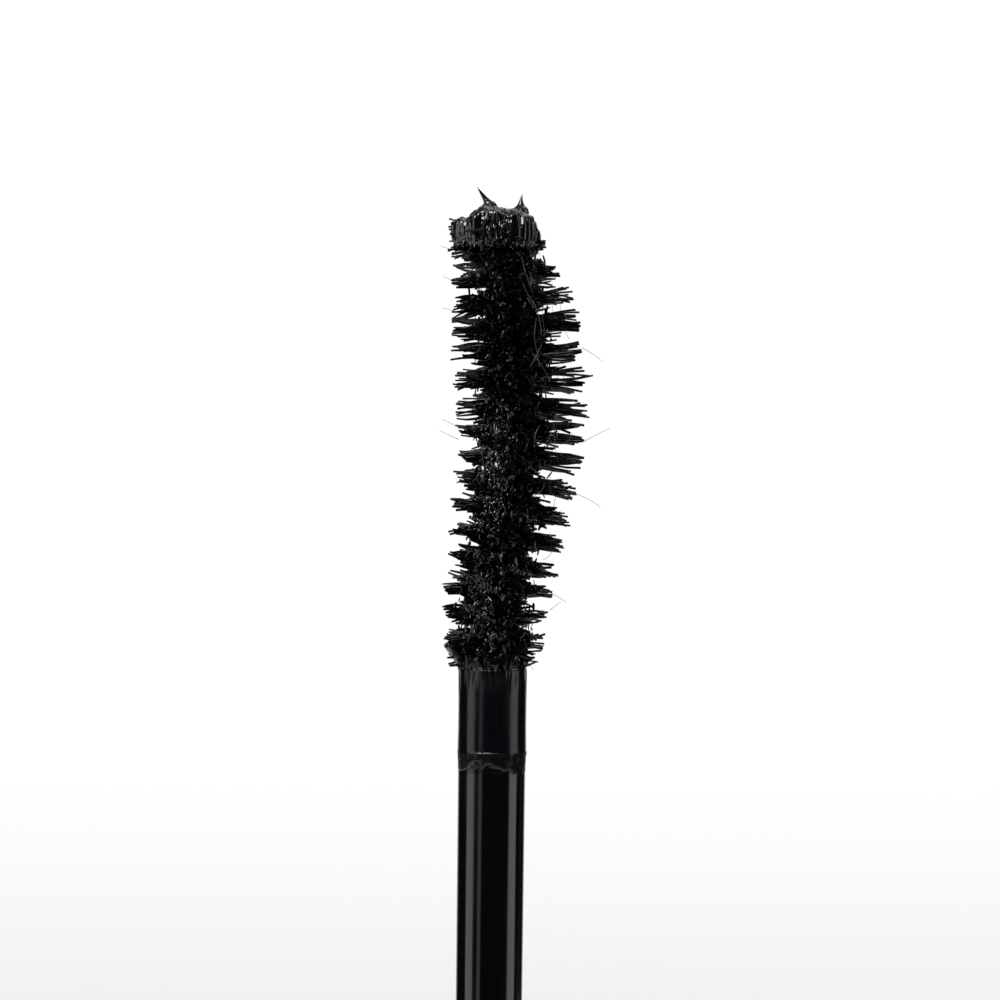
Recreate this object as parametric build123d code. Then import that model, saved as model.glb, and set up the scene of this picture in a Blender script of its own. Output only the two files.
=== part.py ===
from build123d import *
import math
import os

# A mascara that is open and set down ready for use. The wand stands on the closed end of its cap, with
# the brush up. The tube stands on its foot beside the wand and a little behind it. Millimetres, +Z up,
# and the origin is the centre of the underside of the wand's cap. Tube pieces are drawn about their own
# axis, with z = 0 at the underside of the foot, and are moved to the tube's place when they are written.

# Clearances between pieces
fixed_gap = 0.05
running_gap = 0.08
thread_gap = 0.3
wiping_gap = 0.15
closing_gap = 0.5
washer_side_gap = 0.3

# Neck and screw thread
neck_radius = 6.5
thread_height = 0.7
thread_pitch = 3.0
thread_turns = 1.6
thread_root_width = 1.5
thread_crest_width = 0.6
thread_overlap = 0.15
thread_rim_distance = 2.4

# Cap
cap_height = 56.0
cap_end = 1.4
shell_wall = 1.0
liner_wall = 0.95
liner_seat_width = 0.4
liner_floor = 1.6
socket_depth = 13.0
hub_depth = 11.0
hub_wall = 1.2
end_round = 0.9

# Trim collars
collar_wall = 0.4
collar_lip = 0.4
cap_collar_height = 3.5
tube_collar_height = 6.0

# Sealing washer
washer_height = 1.0

# Stem
stem_radius = 1.9
stem_root_radius = 1.82
stem_length = 37.0
stem_end_chamfer = 0.12
head_step = 0.45
head_length = 11.5
flange_step = 0.65
flange_height = 0.6
wire_socket_depth = 10.0

# Brush
wire_radius = 0.42
brush_length = 26.2
brush_straight = 2.8
first_bend_radius = 20.0
first_bend_angle = 9.0
main_bend_radius = 58.0
row_pitch = 1.475
row_start = 1.5
row_end_gap = 0.9
row_height = 0.8
# Share of the brush's length, reach on the hollow side, reach on the bulging side
brush_outline = [
    (0.0, 2.87, 2.85),
    (0.23, 3.02, 3.4),
    (0.52, 3.15, 4.25),
    (0.62, 3.4, 4.4),
    (0.73, 3.6, 3.95),
    (0.8, 3.45, 3.45),
    (0.89, 3.15, 2.5),
    (0.97, 2.9, 2.2),
]

# Mascara that clings to the brush and stem
coat_radius = 1.72
tip_radius = 2.3
tip_top_radius = 1.5
tip_height = 0.9
peak_height = 0.9
peak_radius = 0.35
peak_offset = 1.25
film_length = 4.75
film_wall = 0.03

# Tube
shoulder_height = 72.0
foot_height = 1.2
foot_spigot = 2.8
foot_wall = 1.1
bottle_wall = 1.8
bottle_shoulder = 2.0
plug_height = 2.6
plug_wall = 1.0
fill_height = 42.0

# Wiper
wiper_flange = 0.6
wiper_flange_inset = 0.4
wiper_wall = 0.7
wiper_seat_wall = 1.8
wiper_barrel = 8.5
wiper_funnel = 3.5
wiper_land = 1.2
wiper_lip = 0.55

# Place of the tube beside the wand
standing_gap = 25.0
tube_set_back = 25.0

# Sizes that follow from the ones above
socket_radius = neck_radius + thread_height + thread_gap
liner_radius = socket_radius + liner_wall
shell_bore = liner_radius + fixed_gap
body_radius = shell_bore + shell_wall
collar_bore = body_radius - collar_wall
cap_rim = cap_height - collar_lip
socket_floor = cap_rim - socket_depth
liner_bottom = socket_floor - liner_floor
head_radius = stem_radius + head_step
flange_radius = head_radius + flange_step
hub_bore = head_radius + fixed_gap
hub_radius = hub_bore + hub_wall
washer_bore = flange_radius + running_gap
washer_radius = socket_radius - washer_side_gap
washer_top = socket_floor + washer_height
brush_base = cap_height + stem_length
film_top = brush_base - stem_end_chamfer
film_bottom = film_top - film_length
shoulder_rim = shoulder_height - collar_lip
neck_top = shoulder_height + closing_gap + cap_height - washer_top - wiper_flange
bottle_radius = shell_bore - fixed_gap
bottle_bottom = foot_height + foot_spigot
cavity_radius = bottle_radius - bottle_wall
cavity_floor = bottle_bottom + plug_height
wiper_radius = neck_radius - wiper_seat_wall
orifice_radius = stem_radius + wiping_gap
first_bend_length = math.radians(first_bend_angle) * first_bend_radius
main_bend_length = brush_length - brush_straight - first_bend_length
main_bend_angle = math.degrees(main_bend_length / main_bend_radius)
row_count = 1 + int((brush_length - row_start - row_end_gap) / row_pitch)
tube_x = 2 * body_radius + standing_gap


def turned(corners):
    """Solid turned about the Z axis from (radius, height) corners."""
    section = make_face(Plane.XZ * Polyline(*corners, close=True))
    return revolve(section, axis=Axis.Z)


def ring(outer, inner, bottom, top):
    """Straight ring about the Z axis."""
    return turned([(inner, bottom), (outer, bottom), (outer, top), (inner, top)])


def disc(radius, bottom, top):
    """Solid disc about the Z axis."""
    return Pos(0, 0, bottom) * Cylinder(radius, top - bottom, align=(Align.CENTER, Align.CENTER, Align.MIN))


def thread_ridge(wall_radius, reach, bottom):
    """Helical ridge that stands out from a wall by reach, or inwards where reach is negative."""
    sink = -thread_overlap if reach > 0 else thread_overlap
    root = thread_root_width / 2
    crest = thread_crest_width / 2
    path = Pos(0, 0, bottom) * Helix(thread_pitch, thread_pitch * thread_turns, wall_radius)
    start = Plane(origin=path @ 0, x_dir=(1, 0, 0), z_dir=path % 0)
    corners = [(sink, -root), (reach, -crest), (reach, crest), (sink, root)]
    section = make_face(start * Polyline(*corners, close=True))
    return sweep(section, path=path, is_frenet=True)


def rounded_end(solid, radius):
    """Round the outer edge of the lowest face."""
    lowest = solid.edges().filter_by(GeomType.CIRCLE).group_by(Axis.Z)[0]
    return fillet(lowest.sort_by(SortBy.RADIUS)[-1], radius)


def brush_path(first):
    """Line of the twisted wire, from the height first up to the brush's tip."""
    bend_start = brush_base + brush_straight
    straight = Line((0, first), (0, bend_start))
    lean = JernArc((0, bend_start), (0, 1), first_bend_radius, -first_bend_angle)
    bow = JernArc(lean @ 1, lean % 1, main_bend_radius, main_bend_angle)
    return Plane.XZ * Wire([straight, lean, bow])


def section_plane(distance):
    """Plane across the brush at a distance along its wire, with x towards the bulging side."""
    path = brush_path(brush_base)
    tangent = path.tangent_at(distance, position_mode=PositionMode.LENGTH)
    centre = path.position_at(distance, position_mode=PositionMode.LENGTH)
    return Plane(origin=centre, x_dir=(tangent.Z, 0, -tangent.X), z_dir=tangent)


def reach_at(distance, side):
    """How far the bristles reach at a distance along the wire. Side 1 is hollow, side 2 bulges."""
    share = distance / brush_length
    for low, high in zip(brush_outline, brush_outline[1:]):
        if share <= high[0]:
            return low[side] + (high[side] - low[side]) * (share - low[0]) / (high[0] - low[0])
    return brush_outline[-1][side]


def cap_shell():
    """Outer cap: a deep cup with a step that seats the liner and a rebate for the trim collar."""
    seat_bore = shell_bore - liner_seat_width
    collar_foot = cap_height - cap_collar_height
    shell = turned([
        (0, 0),
        (body_radius, 0),
        (body_radius, collar_foot),
        (collar_bore, collar_foot),
        (collar_bore, cap_rim),
        (shell_bore, cap_rim),
        (shell_bore, liner_bottom),
        (seat_bore, liner_bottom),
        (seat_bore, cap_end),
        (0, cap_end),
    ])
    return rounded_end(shell, min(end_round, 0.8 * cap_end))


def trim_collar(top, height):
    """Metal band with a lip that folds in over the rim of a shell."""
    lip_bore = shell_bore - liner_seat_width
    return turned([
        (collar_bore, top - height),
        (body_radius, top - height),
        (body_radius, top),
        (lip_bore, top),
        (lip_bore, top - collar_lip),
        (collar_bore, top - collar_lip),
    ])


def cap_liner():
    """Inner cap: threaded socket for the neck, with a hub behind it that grips the stem's head."""
    hub_bottom = liner_bottom - hub_depth
    cup = turned([
        (hub_bore, hub_bottom),
        (hub_radius, hub_bottom),
        (hub_radius, liner_bottom),
        (liner_radius, liner_bottom),
        (liner_radius, cap_rim),
        (socket_radius, cap_rim),
        (socket_radius, socket_floor),
        (hub_bore, socket_floor),
    ])
    ridge_span = thread_pitch * thread_turns
    ridge_bottom = cap_rim - thread_rim_distance - ridge_span
    return cup + thread_ridge(socket_radius, -thread_height, ridge_bottom)


def sealing_washer():
    """Loose soft washer that lies on the socket's floor, round the stem's flange."""
    return ring(washer_radius, washer_bore, socket_floor, washer_top)


def stem():
    """Moulded rod: a head held in the hub, a flange on the socket's floor, and the long drafted stem."""
    rod = turned([
        (0, socket_floor - head_length),
        (head_radius, socket_floor - head_length),
        (head_radius, socket_floor),
        (flange_radius, socket_floor),
        (flange_radius, socket_floor + flange_height),
        (stem_root_radius, socket_floor + flange_height),
        (stem_radius, film_bottom),
        (stem_radius, brush_base - stem_end_chamfer),
        (stem_radius - stem_end_chamfer, brush_base),
        (0, brush_base),
    ])
    return rod - disc(wire_radius, brush_base - wire_socket_depth, brush_base)


def core_wire():
    """Twisted pair of wires, as one round wire of the same outside size."""
    path = brush_path(brush_base - wire_socket_depth)
    return sweep(Plane(origin=path @ 0, z_dir=path % 0) * Circle(wire_radius), path=path)


def brush_coat():
    """Mascara packed round the wire, with a thicker mass and two drawn-up peaks at the tip."""
    path = brush_path(brush_base)
    sleeve = sweep(Plane(origin=path @ 0, z_dir=path % 0) * Circle(coat_radius), path=path)
    tip = section_plane(brush_length)
    upwards = (Align.CENTER, Align.CENTER, Align.MIN)
    coat = sleeve + tip * Pos(0, 0, -tip_height / 2) * Cone(tip_radius, tip_top_radius, tip_height, align=upwards)
    for side in (-1, 1):
        peak = Cone(peak_radius, 0.05, peak_height + tip_height / 2, align=upwards)
        coat += tip * Pos(side * peak_offset, 0, 0) * Rot(0, side * 8, 0) * peak
    return coat - core_wire()


def stem_film():
    """Thin dried film of mascara that the wiper leaves on the stem below the brush."""
    return ring(stem_radius + film_wall, stem_radius, film_bottom, film_top)


def bristle_row(distance, core):
    """One half turn of the bristle helix, as a disc whose middle is buried in the clinging mascara."""
    hollow_side = reach_at(distance, 1)
    bulging_side = reach_at(distance, 2)
    radius = (hollow_side + bulging_side) / 2
    offset = (bulging_side - hollow_side) / 2
    row = section_plane(distance) * Pos(offset, 0, 0) * Cylinder(radius, row_height)
    return row - core


def tube_shell():
    """Outer sleeve of the tube, open at both ends, with a rebate for the trim collar."""
    collar_foot = shoulder_height - tube_collar_height
    return turned([
        (shell_bore, foot_height),
        (body_radius, foot_height),
        (body_radius, collar_foot),
        (collar_bore, collar_foot),
        (collar_bore, shoulder_rim),
        (shell_bore, shoulder_rim),
    ])


def foot_cap():
    """Disc that closes the sleeve, with a ring-shaped spigot under the bottle."""
    spigot_radius = shell_bore - fixed_gap
    foot = turned([
        (0, 0),
        (body_radius, 0),
        (body_radius, foot_height),
        (spigot_radius, foot_height),
        (spigot_radius, bottle_bottom),
        (spigot_radius - foot_wall, bottle_bottom),
        (spigot_radius - foot_wall, foot_height),
        (0, foot_height),
    ])
    return rounded_end(foot, min(end_round, 0.7 * foot_height))


def bottle():
    """Inner bottle with the threaded neck. It is open below, where the plug closes it."""
    body = turned([
        (cavity_radius, bottle_bottom),
        (bottle_radius, bottle_bottom),
        (bottle_radius, shoulder_rim),
        (neck_radius, shoulder_rim),
        (neck_radius, neck_top),
        (wiper_radius, neck_top),
        (wiper_radius, shoulder_rim - bottle_shoulder),
        (cavity_radius, shoulder_rim - bottle_shoulder - (cavity_radius - wiper_radius)),
    ])
    ridge_span = thread_pitch * thread_turns
    return body + thread_ridge(neck_radius, thread_height, neck_top - thread_rim_distance - ridge_span)


def bottle_plug():
    """Cup-shaped plug that closes the bottle from below after filling."""
    plug = disc(cavity_radius, bottle_bottom, cavity_floor)
    return plug - disc(cavity_radius - plug_wall, bottle_bottom, cavity_floor - plug_wall)


def wiper():
    """Soft wiper: a flange on the neck's rim, a barrel in its bore, and a funnel down to the orifice."""
    barrel_bottom = neck_top - wiper_barrel
    land_top = barrel_bottom - wiper_funnel
    land_bottom = land_top - wiper_land
    return turned([
        (wiper_radius - wiper_wall, neck_top + wiper_flange),
        (wiper_radius - wiper_wall, barrel_bottom),
        (orifice_radius, land_top),
        (orifice_radius, land_bottom),
        (orifice_radius + wiper_lip, land_bottom),
        (orifice_radius + wiper_lip, land_top),
        (wiper_radius, barrel_bottom),
        (wiper_radius, neck_top),
        (neck_radius - wiper_flange_inset, neck_top),
        (neck_radius - wiper_flange_inset, neck_top + wiper_flange),
    ])


def mascara_fill():
    """Mascara left in the bottle."""
    return disc(cavity_radius, cavity_floor, cavity_floor + fill_height)


tube_pieces = {
    "tube_shell": tube_shell(),
    "tube_collar": trim_collar(shoulder_height, tube_collar_height),
    "foot_cap": foot_cap(),
    "bottle": bottle(),
    "bottle_plug": bottle_plug(),
    "wiper": wiper(),
    "mascara_fill": mascara_fill(),
}

coat = brush_coat()
brush_core = coat + core_wire()
wand_pieces = {
    "cap_shell": cap_shell(),
    "cap_collar": trim_collar(cap_height, cap_collar_height),
    "cap_liner": cap_liner(),
    "sealing_washer": sealing_washer(),
    "stem": stem(),
    "core_wire": core_wire(),
    "brush_coat": coat,
    "stem_film": stem_film(),
}
for index in range(row_count):
    name = f"bristle_row_{index + 1:02d}"
    wand_pieces[name] = bristle_row(row_start + index * row_pitch, brush_core)

os.makedirs("parts", exist_ok=True)
for name, solid in tube_pieces.items():
    export_step(Pos(tube_x, tube_set_back, 0) * solid, f"parts/{name}.step")
for name, solid in wand_pieces.items():
    export_step(solid, f"parts/{name}.step")

print("body radius", body_radius)
print("tube axis", tube_x, tube_set_back)
print("neck top", neck_top)
print("brush base", brush_base)
print("brush length along the wire", brush_path(brush_base).length)
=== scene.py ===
from math import atan2, copysign, cos, exp, pi, radians, sin, sqrt
from random import Random

import bmesh
import bpy
from mathutils import Matrix, Vector
from mathutils.noise import noise


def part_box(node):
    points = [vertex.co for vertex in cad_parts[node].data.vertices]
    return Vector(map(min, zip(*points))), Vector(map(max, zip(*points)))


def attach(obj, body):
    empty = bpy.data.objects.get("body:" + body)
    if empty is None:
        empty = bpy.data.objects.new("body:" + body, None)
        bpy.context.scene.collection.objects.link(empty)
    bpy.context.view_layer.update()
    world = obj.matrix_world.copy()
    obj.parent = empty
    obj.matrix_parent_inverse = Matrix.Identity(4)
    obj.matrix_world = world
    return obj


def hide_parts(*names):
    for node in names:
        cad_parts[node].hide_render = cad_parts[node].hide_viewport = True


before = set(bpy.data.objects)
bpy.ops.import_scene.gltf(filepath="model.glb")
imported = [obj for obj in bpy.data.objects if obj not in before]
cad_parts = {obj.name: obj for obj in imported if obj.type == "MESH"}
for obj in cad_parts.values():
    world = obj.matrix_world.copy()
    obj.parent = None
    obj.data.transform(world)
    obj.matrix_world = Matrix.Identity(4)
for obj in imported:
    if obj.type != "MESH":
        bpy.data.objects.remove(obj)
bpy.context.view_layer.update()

mm = 0.001


# ---------------- The set and the camera
# A level camera looks straight at the brush, close up. A pale floor fades into a white surround, darkened
# below the horizon by painted shade; three tall soft boxes stand beside the wand, and two more hang over it,
# one in front and one behind.

wand_x = (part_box("stem")[0].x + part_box("stem")[1].x) / 2
tube_x = (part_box("foot_cap")[0].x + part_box("foot_cap")[1].x) / 2
tube_y = (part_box("foot_cap")[0].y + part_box("foot_cap")[1].y) / 2
wand_axis = (wand_x, 0)
tube_axis = (tube_x, tube_y)
brush_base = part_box("stem")[1].z

camera_distance = 400 * mm
camera_elevation = radians(0.4)
camera_roll = radians(-0.67)
view_width = 56.3 * mm
view_centre = Vector((wand_x + 0.26 * mm, 0, brush_base + 9.4 * mm))


def set_out(name, data):
    """An object in the scene that holds a camera, a light or a mesh."""
    thing = bpy.data.objects.new(name, data)
    bpy.context.scene.collection.objects.link(thing)
    return thing


def mesh_data(name, mesh):
    """The mesh data of a working mesh, which is freed."""
    data = bpy.data.meshes.new(name)
    mesh.to_mesh(data)
    mesh.free()
    return data


def join(value, socket):
    """Feed a socket from another one, or set it to a plain value."""
    if isinstance(value, bpy.types.NodeSocket):
        socket.id_data.links.new(value, socket)
    else:
        socket.default_value = value


def new_material(name, colour, **levels):
    """A material and its Principled shader. Levels are the shader's own sockets."""
    material = bpy.data.materials.new(name)
    material.use_nodes = True
    shader = material.node_tree.nodes["Principled BSDF"]
    shader.inputs["Base Color"].default_value = (*colour, 1)
    for socket, level in levels.items():
        shader.inputs[socket.replace("_", " ")].default_value = level
    return material, shader


def mapped(value, low, high, new_low, new_high):
    """A value moved from one range to another, smoothly and held at the ends."""
    node = value.id_data.nodes.new("ShaderNodeMapRange")
    node.interpolation_type = "SMOOTHSTEP"
    for name, limit in zip(("From Min", "From Max", "To Min", "To Max"), (low, high, new_low, new_high)):
        node.inputs[name].default_value = limit
    join(value, node.inputs["Value"])
    return node.outputs["Result"]


def maths(operation, first, second):
    """A sum, product or other operation on a socket and another socket or a number."""
    node = first.id_data.nodes.new("ShaderNodeMath")
    node.operation = operation
    join(first, node.inputs[0])
    join(second, node.inputs[1])
    return node.outputs["Value"]


def blend(factor, first, second, kind="FLOAT"):
    """First where the factor is 0, second where it is 1. Each is a socket or a plain value."""
    node = factor.id_data.nodes.new("ShaderNodeMix")
    node.data_type = kind
    for name, value in (("Factor", factor), ("A", first), ("B", second)):
        join(value, node.inputs[name])
    return node.outputs["Result"]


def placed(node, stretch=(1, 1, 1), origin=(0, 0, 0)):
    """The object's own coordinates, measured from an origin and stretched, for a material's node."""
    mapping = node.id_data.nodes.new("ShaderNodeMapping")
    mapping.inputs["Scale"].default_value = stretch
    mapping.inputs["Location"].default_value = [-share * middle for share, middle in zip(stretch, origin)]
    join(node.id_data.nodes.new("ShaderNodeTexCoord").outputs["Object"], mapping.inputs["Vector"])
    return mapping.outputs["Vector"]


def distance_from(node, origin, stretch=(1, 1, 1)):
    """The distance from a place, as a value."""
    length = node.id_data.nodes.new("ShaderNodeVectorMath")
    length.operation = "LENGTH"
    join(placed(node, stretch, origin), length.inputs[0])
    return length.outputs["Value"]


camera_data = bpy.data.cameras.new("camera")
camera_data.lens = camera_data.sensor_width * camera_distance / view_width
camera_data.clip_start = 1 * mm
camera_data.clip_end = 20
camera = set_out("camera", camera_data)
camera.rotation_euler = (pi / 2 - camera_elevation, camera_roll, 0)
camera_way = Vector((0, -cos(camera_elevation), sin(camera_elevation)))
camera.location = view_centre + camera_distance * camera_way
bpy.context.scene.camera = camera
bpy.context.scene.view_settings.view_transform = "Standard"

world = bpy.data.worlds.new("studio")
world.use_nodes = True
bpy.context.scene.world = world
nodes = world.node_tree.nodes
split = nodes.new("ShaderNodeSeparateXYZ")
join(nodes.new("ShaderNodeTexCoord").outputs["Generated"], split.inputs[0])
# Painted shade: the surround that only the camera sees is darker below the horizon than above it
surround_painted_darker_below = mapped(split.outputs["Z"], -0.1, -0.035, 0.825, 1.02)
behind = mapped(split.outputs["Y"], 0.80, 0.96, 0.006, 1.0)
overhead = mapped(split.outputs["Z"], 0.6, 0.95, 0.0, 0.4)
ray = nodes.new("ShaderNodeLightPath")
soft_light = 0.7
unseen = blend(ray.outputs["Is Glossy Ray"], soft_light, maths("MAXIMUM", behind, overhead))
join(blend(ray.outputs["Is Camera Ray"], unseen, surround_painted_darker_below), nodes["Background"].inputs["Strength"])
nodes["Background"].inputs["Color"].default_value = (1.0, 1.0, 0.985, 1)

floor_mesh = bmesh.new()
bmesh.ops.create_circle(floor_mesh, cap_ends=True, segments=96, radius=0.5)
floor = set_out("floor", mesh_data("floor", floor_mesh))
white_paper, shader = new_material("white_paper", (0.6, 0.6, 0.595), Roughness=0.9, Specular_IOR_Level=0.1)
join(mapped(distance_from(shader, (0, 0, 0)), 0.22, 0.47, 1.0, 0.0), shader.inputs["Alpha"])
floor.data.materials.append(white_paper)


def soft_box(name, side_angle, rise_angle, distance, width, height, radiance):
    """A one-sided area light that stands round the wand at two angles and faces it."""
    light = bpy.data.lights.new(name, "AREA")
    light.shape = "RECTANGLE"
    light.size = width
    light.size_y = height
    light.energy = radiance * pi * width * height
    holder = set_out(name, light)
    side, rise = radians(side_angle), radians(rise_angle)
    middle = Vector((wand_x, 0, 0.11))
    way = Vector((sin(side) * cos(rise), -cos(side) * cos(rise), sin(rise)))
    holder.location = middle + way * distance
    holder.rotation_euler = (-way).to_track_quat("-Z", "Y").to_euler()
    holder.visible_camera = False


soft_box("left_box", -77, 0, 0.45, 0.24, 0.7, 1.75)
soft_box("left_edge_box", -39, 0, 0.45, 0.09, 0.7, 0.8)
soft_box("right_box", 79, 0, 0.45, 0.25, 0.7, 1.75)
soft_box("top_box", -36, 44, 0.5, 0.34, 0.34, 13.0)
soft_box("back_top_box", 150, 48, 0.6, 0.4, 0.4, 1.2)


# ---------------- The stem
# A polished black moulded rod. Its head is pressed into the cap's hub, its flange sits on the socket's
# floor, and a blind hole in its far end grips the twisted wire of the brush.

stem_radius = 1.9 * mm
stem_root_radius = 1.82 * mm
stem_head_radius = 2.35 * mm
stem_head_length = 11.5 * mm
stem_flange_radius = 3.0 * mm
stem_flange_height = 0.6 * mm
film_length = 4.75 * mm
film_top = brush_base - 0.12 * mm
film_bottom = film_top - film_length
socket_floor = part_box("sealing_washer")[0].z


def finish_mesh(name, mesh, crease=40.0):
    """Merge doubles, point the faces outwards, smooth the shading and link the piece."""
    bmesh.ops.remove_doubles(mesh, verts=mesh.verts, dist=0.0005 * mm)
    bmesh.ops.recalc_face_normals(mesh, faces=mesh.faces)
    data = mesh_data(name, mesh)
    data.shade_smooth()
    data.set_sharp_from_angle(angle=radians(crease))
    return set_out(name, data)


def spun(mesh, axis, steps, angle=2 * pi, rise=0.0):
    """Turn an outline about an upright axis. Less than or more than one turn leaves its ends open."""
    bmesh.ops.spin(mesh, geom=mesh.verts[:] + mesh.edges[:], cent=(*axis, 0), axis=(0, 0, 1),
                   dvec=(0, 0, rise / steps), angle=angle, steps=steps, use_merge=angle == 2 * pi)


def join_up(mesh, points, closed=True):
    """Edges along a line of points, and from the last one back to the first."""
    for first, second in zip(points, points[1:] + points[:closed]):
        mesh.edges.new((first, second))


def turned_mesh(corners, axis, rounding, steps=128):
    """A solid turned about an upright axis from (radius, height) corners, each rounded off.

    A corner may give its own rounding as a third value. An outline that starts on the axis also ends there.
    """
    mesh = bmesh.new()
    points = [mesh.verts.new((axis[0] + corner[0], axis[1], corner[1])) for corner in corners]
    closed = corners[0][0] > 0
    join_up(mesh, points, closed)
    rounded = list(zip(points, corners))
    if not closed:
        rounded = rounded[1:-1]
    own_rounding = {point: corner[2] if len(corner) > 2 else rounding for point, corner in rounded}
    for offset in sorted(set(own_rounding.values())):
        alike = [point for point, own in own_rounding.items() if own == offset]
        bmesh.ops.bevel(mesh, geom=alike, offset=offset, offset_type="OFFSET", segments=4,
                        profile=0.5, affect="VERTICES", material=-1)
    spun(mesh, axis, steps)
    bmesh.ops.remove_doubles(mesh, verts=mesh.verts, dist=0.0005 * mm)
    return mesh


def fit(piece, material, body, slot, *nodes):
    """Give a piece its material and its body, and hide the nodes that it stands for. The slot is not used."""
    piece.data.materials.append(material)
    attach(piece, body)
    if nodes:
        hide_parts(*nodes)


def pattern(node, scale, stretch=(1, 1, 1), origin=(0, 0, 0), detail=2.0, kind="ShaderNodeTexNoise"):
    """A noise or cell texture on the object's own coordinates, stretched about an origin."""
    texture = node.id_data.nodes.new(kind)
    texture.inputs["Scale"].default_value = scale
    if "Detail" in texture.inputs:
        texture.inputs["Detail"].default_value = detail
    join(placed(node, stretch, origin), texture.inputs["Vector"])
    return texture.outputs[0]


def relief(shader, height, depth, strength=1.0):
    """Bump from a height pattern, stacked on any bump that the shader already has."""
    bump = shader.id_data.nodes.new("ShaderNodeBump")
    bump.inputs["Strength"].default_value = strength
    bump.inputs["Distance"].default_value = depth
    join(height, bump.inputs["Height"])
    if shader.inputs["Normal"].is_linked:
        join(shader.inputs["Normal"].links[0].from_socket, bump.inputs["Normal"])
    join(bump.outputs["Normal"], shader.inputs["Normal"])


def grained(name, colour, scale, spread, roughness, depth, strength, stretch=(1, 1, 1), detail=2.0, **levels):
    """A material with one noise, whose spread of values becomes its roughness and its relief."""
    material, shader = new_material(name, colour, **levels)
    grain = pattern(shader, scale, stretch, detail=detail)
    join(mapped(grain, *spread, *roughness), shader.inputs["Roughness"])
    relief(shader, grain, depth, strength)
    return material


stem = finish_mesh("stem_rod", turned_mesh([
    (0, socket_floor - stem_head_length),
    (stem_head_radius, socket_floor - stem_head_length),
    (stem_head_radius, socket_floor),
    (stem_flange_radius, socket_floor),
    (stem_flange_radius, socket_floor + stem_flange_height),
    (stem_root_radius, socket_floor + stem_flange_height),
    (stem_radius, film_bottom),
    (stem_radius, brush_base),
    (0, brush_base),
], wand_axis, 0.06 * mm))
stem_plastic = grained(
    "polished_black_plastic", (0.0006, 0.0006, 0.0008), 900, (0.35, 0.7), (0.11, 0.18), 0.02 * mm, 0.12,
    stretch=(1, 1, 0.12), detail=3, IOR=1.5)
fit(stem, stem_plastic, "wand", "stem_plastic", "stem")


# ---------------- The dried film on the stem
# The wiper leaves a thin coat of mascara on the stem below the brush. It ends in a fine ring with a dull
# smear of crumbs hanging under it, and is streaked where it ran down from the brush.

film_wall = 0.02 * mm
ring_wall = 0.045 * mm
swell_wall = 0.018 * mm
sunk_wall = -0.012 * mm
smear_length = 1.6 * mm
film_bore = stem_radius - 0.02 * mm
film_mesh = bmesh.new()
film_steps = 80
skin_foot = film_bottom - smear_length
outer = []
for step in range(film_steps + 1):
    height = skin_foot + (film_top - skin_foot) * step / film_steps
    rise = (height - film_bottom) / mm
    wall = sunk_wall + (film_wall - sunk_wall) * min(1, (height - skin_foot) / smear_length)
    wall += (ring_wall - film_wall) * exp(-((rise - 0.1) / 0.09) ** 2)
    wall += swell_wall * exp(-((rise - 0.5) / 0.6) ** 2)
    outer.append(film_mesh.verts.new((wand_x + stem_radius + wall, 0, height)))
inner_top = film_mesh.verts.new((wand_x + film_bore, 0, film_top))
inner_bottom = film_mesh.verts.new((wand_x + film_bore, 0, skin_foot - 0.02 * mm))
join_up(film_mesh, outer + [inner_top, inner_bottom])
spun(film_mesh, wand_axis, 200)
for point in film_mesh.verts:
    spoke = Vector((point.co.x - wand_x, point.co.y, 0))
    if spoke.length > stem_radius:
        along = (point.co.z - film_bottom) / mm
        crumbs = exp(-((along + 0.12) / 0.3) ** 2)
        push = max(-0.004, noise(point.co * 4200) * 0.035 * crumbs)
        below = min(1, max(0, -along * 2))
        push += noise((point.co.x * 800, point.co.y * 800, 3)) * 0.012 * below
        runs = noise((point.co.x * 3600, point.co.y * 3600, point.co.z * 300))
        near_brush = min(1, max(0, (along - 3.2) / 1.2))
        push += max(0, runs) * 0.06 * near_brush
        point.co += spoke.normalized() * push * mm
film = finish_mesh("dried_film", film_mesh, 180)
film_coat, shader = new_material("dried_mascara_film", (0.0004, 0.0008, 0.0014), IOR=1.42)
split = shader.id_data.nodes.new("ShaderNodeSeparateXYZ")
join(placed(shader), split.inputs[0])
height = split.outputs["Z"]
streaks = pattern(shader, 1500, (1, 1, 0.22), detail=4)
patches = pattern(shader, 3400, detail=5)
ragged = maths("ADD", height, maths("MULTIPLY", pattern(shader, 620, detail=5), 2.6 * mm))
smear_reach = mapped(ragged, film_bottom + 0.35 * mm, film_bottom + 0.6 * mm, 0.0, 1.0)
above_ring = mapped(height, film_bottom, film_bottom + 0.12 * mm, 0.0, 1.0)
stem_roughness = 0.145
on_stem = blend(smear_reach, stem_roughness, mapped(patches, 0.38, 0.62, 0.3, 0.5))
on_film = mapped(streaks, 0.3, 0.75, 0.15, 0.25)
join(blend(above_ring, on_stem, on_film), shader.inputs["Roughness"])
below_ring = mapped(height, film_bottom, film_bottom + 0.12 * mm, 1.0, 0.0)
smeared = maths("MULTIPLY", smear_reach, below_ring)
crumbs = maths("MULTIPLY", patches, smeared)
join(mapped(crumbs, 0.1, 0.6, 0.42, 0.05), shader.inputs["Specular IOR Level"])
relief(shader, crumbs, 0.09 * mm, 1.0)
runs = pattern(shader, 3400, (1, 1, 0.12), detail=2)
near_brush = mapped(height, film_top - 1.5 * mm, film_top - 0.2 * mm, 0, 1)
relief(shader, maths("MULTIPLY", runs, near_brush), 0.12 * mm, 0.8)
relief(shader, streaks, 0.012 * mm, 0.3)
relief(shader, pattern(shader, 9000), 0.006 * mm, 0.35)
fit(film, film_coat, "wand", "mascara_film", "stem_film")


# ---------------- The core wire
# Two drawn steel wires twisted together grip every bristle between them. The last turns are bent into
# the gentle bow that gives the brush its shape. Most of it is buried in mascara.

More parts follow.
